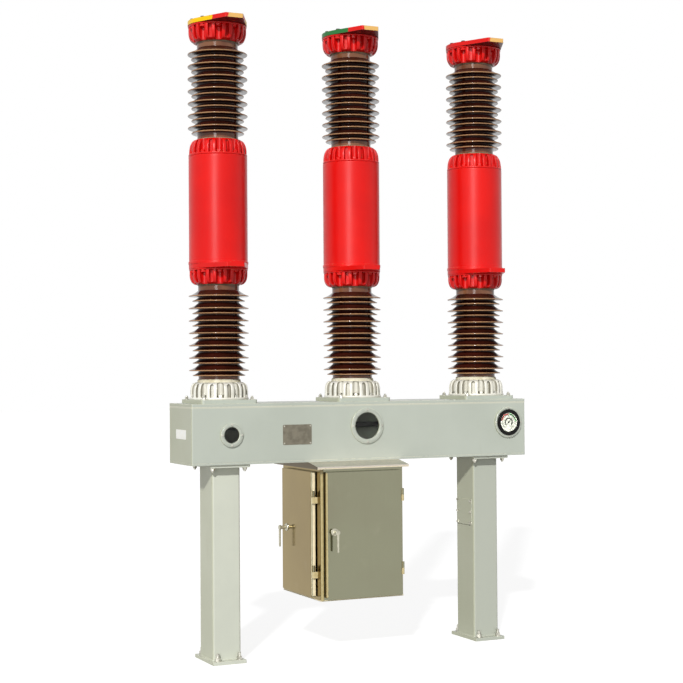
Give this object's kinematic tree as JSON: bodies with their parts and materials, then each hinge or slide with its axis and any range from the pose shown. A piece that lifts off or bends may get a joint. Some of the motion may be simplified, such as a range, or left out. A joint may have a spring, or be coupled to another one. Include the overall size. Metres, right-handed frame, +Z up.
{
  "type": "substation circuit breaker",
  "caption": "Outdoor live-tank circuit breaker: porcelain and red metal poles on a box beam with legs and a stainless drive cabinet; breaks line current.",
  "frame": {"origin": "on the ground, at the centre of the base of the part's box, midway between the two legs", "axes": "+Z up; +X along the beam, to the right seen from the terminal side; -Y is the front, where the terminals and the wide door are"},
  "size_m": [1.79, 0.5583, 3.021],
  "materials": {
    "frame_paint": "semi-gloss pale grey-green paint with light rain streaks",
    "leg_paint": "semi-gloss pale grey paint with light rain streaks",
    "bare_casting": "unpainted cast aluminium, satin",
    "porcelain": "dark brown glaze, glossy",
    "red_paint": "gloss red paint over cast and rolled metal",
    "phase_yellow": "gloss yellow edge paint, bare metal at the tip",
    "phase_green": "gloss green edge paint, bare metal at the tip",
    "phase_red": "gloss red edge paint, bare metal at the tip",
    "dark_steel": "dark oiled steel",
    "window_glass": "clear glass",
    "gauge_case": "gloss black enamel with a white dial",
    "stainless": "brushed stainless sheet with warm reflections",
    "handle_steel": "polished cast metal"
  },
  "bodies": {
    "stand": {"base_castings": "bare_casting", "left_lower_insulator": "porcelain", "left_lower_flange": "red_paint", "left_lower_terminal": "red_paint", "left_tank": "red_paint", "left_upper_flange": "red_paint", "left_upper_insulator": "porcelain", "left_top_casting": "red_paint", "left_top_terminal": "phase_yellow", "middle_lower_insulator": "porcelain", "middle_lower_flange": "red_paint", "middle_lower_terminal": "red_paint", "middle_tank": "red_paint", "middle_upper_flange": "red_paint", "middle_upper_insulator": "porcelain", "middle_top_casting": "red_paint", "middle_top_terminal": "phase_green", "right_lower_insulator": "porcelain", "right_lower_flange": "red_paint", "right_lower_terminal": "red_paint", "right_tank": "red_paint", "right_upper_flange": "red_paint", "right_upper_insulator": "porcelain", "right_top_casting": "red_paint", "right_top_terminal": "phase_red", "beam_front_panel": "frame_paint", "beam_back_panel": "frame_paint", "beam_end_plates": "frame_paint", "beam_top_plate": "frame_paint", "beam_bottom_plate": "frame_paint", "pole_mount_plates": "frame_paint", "left_leg": "leg_paint", "right_leg": "leg_paint", "leg_access_cover": "leg_paint", "beam_rod": "dark_steel", "window_frames": "frame_paint", "window_glasses": "window_glass", "density_gauge": "gauge_case", "cabinet_body": "stainless", "cabinet_roof": "stainless", "door_hinges": "handle_steel"},
    "front_door": {"front_door": "stainless"},
    "front_handle": {"front_handle": "handle_steel"},
    "side_door": {"side_door": "stainless"},
    "side_handle": {"side_handle": "handle_steel"}
  },
  "joints": [
    {"name": "front_door_hinge", "type": "hinge", "parent": "stand", "child": "front_door", "pos_m": [0.1465, -0.246, 0.6], "axis": [0, 0, 1], "range_deg": [0, 110]},
    {"name": "front_lever_turn", "type": "hinge", "parent": "front_door", "child": "front_handle", "pos_m": [-0.219, -0.2533, 0.602], "axis": [0, -1, 0], "range_deg": [0, 90]},
    {"name": "side_door_hinge", "type": "hinge", "parent": "stand", "child": "side_door", "pos_m": [-0.299, -0.1845, 0.6], "axis": [0, 0, 1], "range_deg": [0, 60]},
    {"name": "side_lever_turn", "type": "hinge", "parent": "side_door", "child": "side_handle", "pos_m": [-0.3063, 0.118, 0.597], "axis": [-1, 0, 0], "range_deg": [0, 90]}
  ]
}
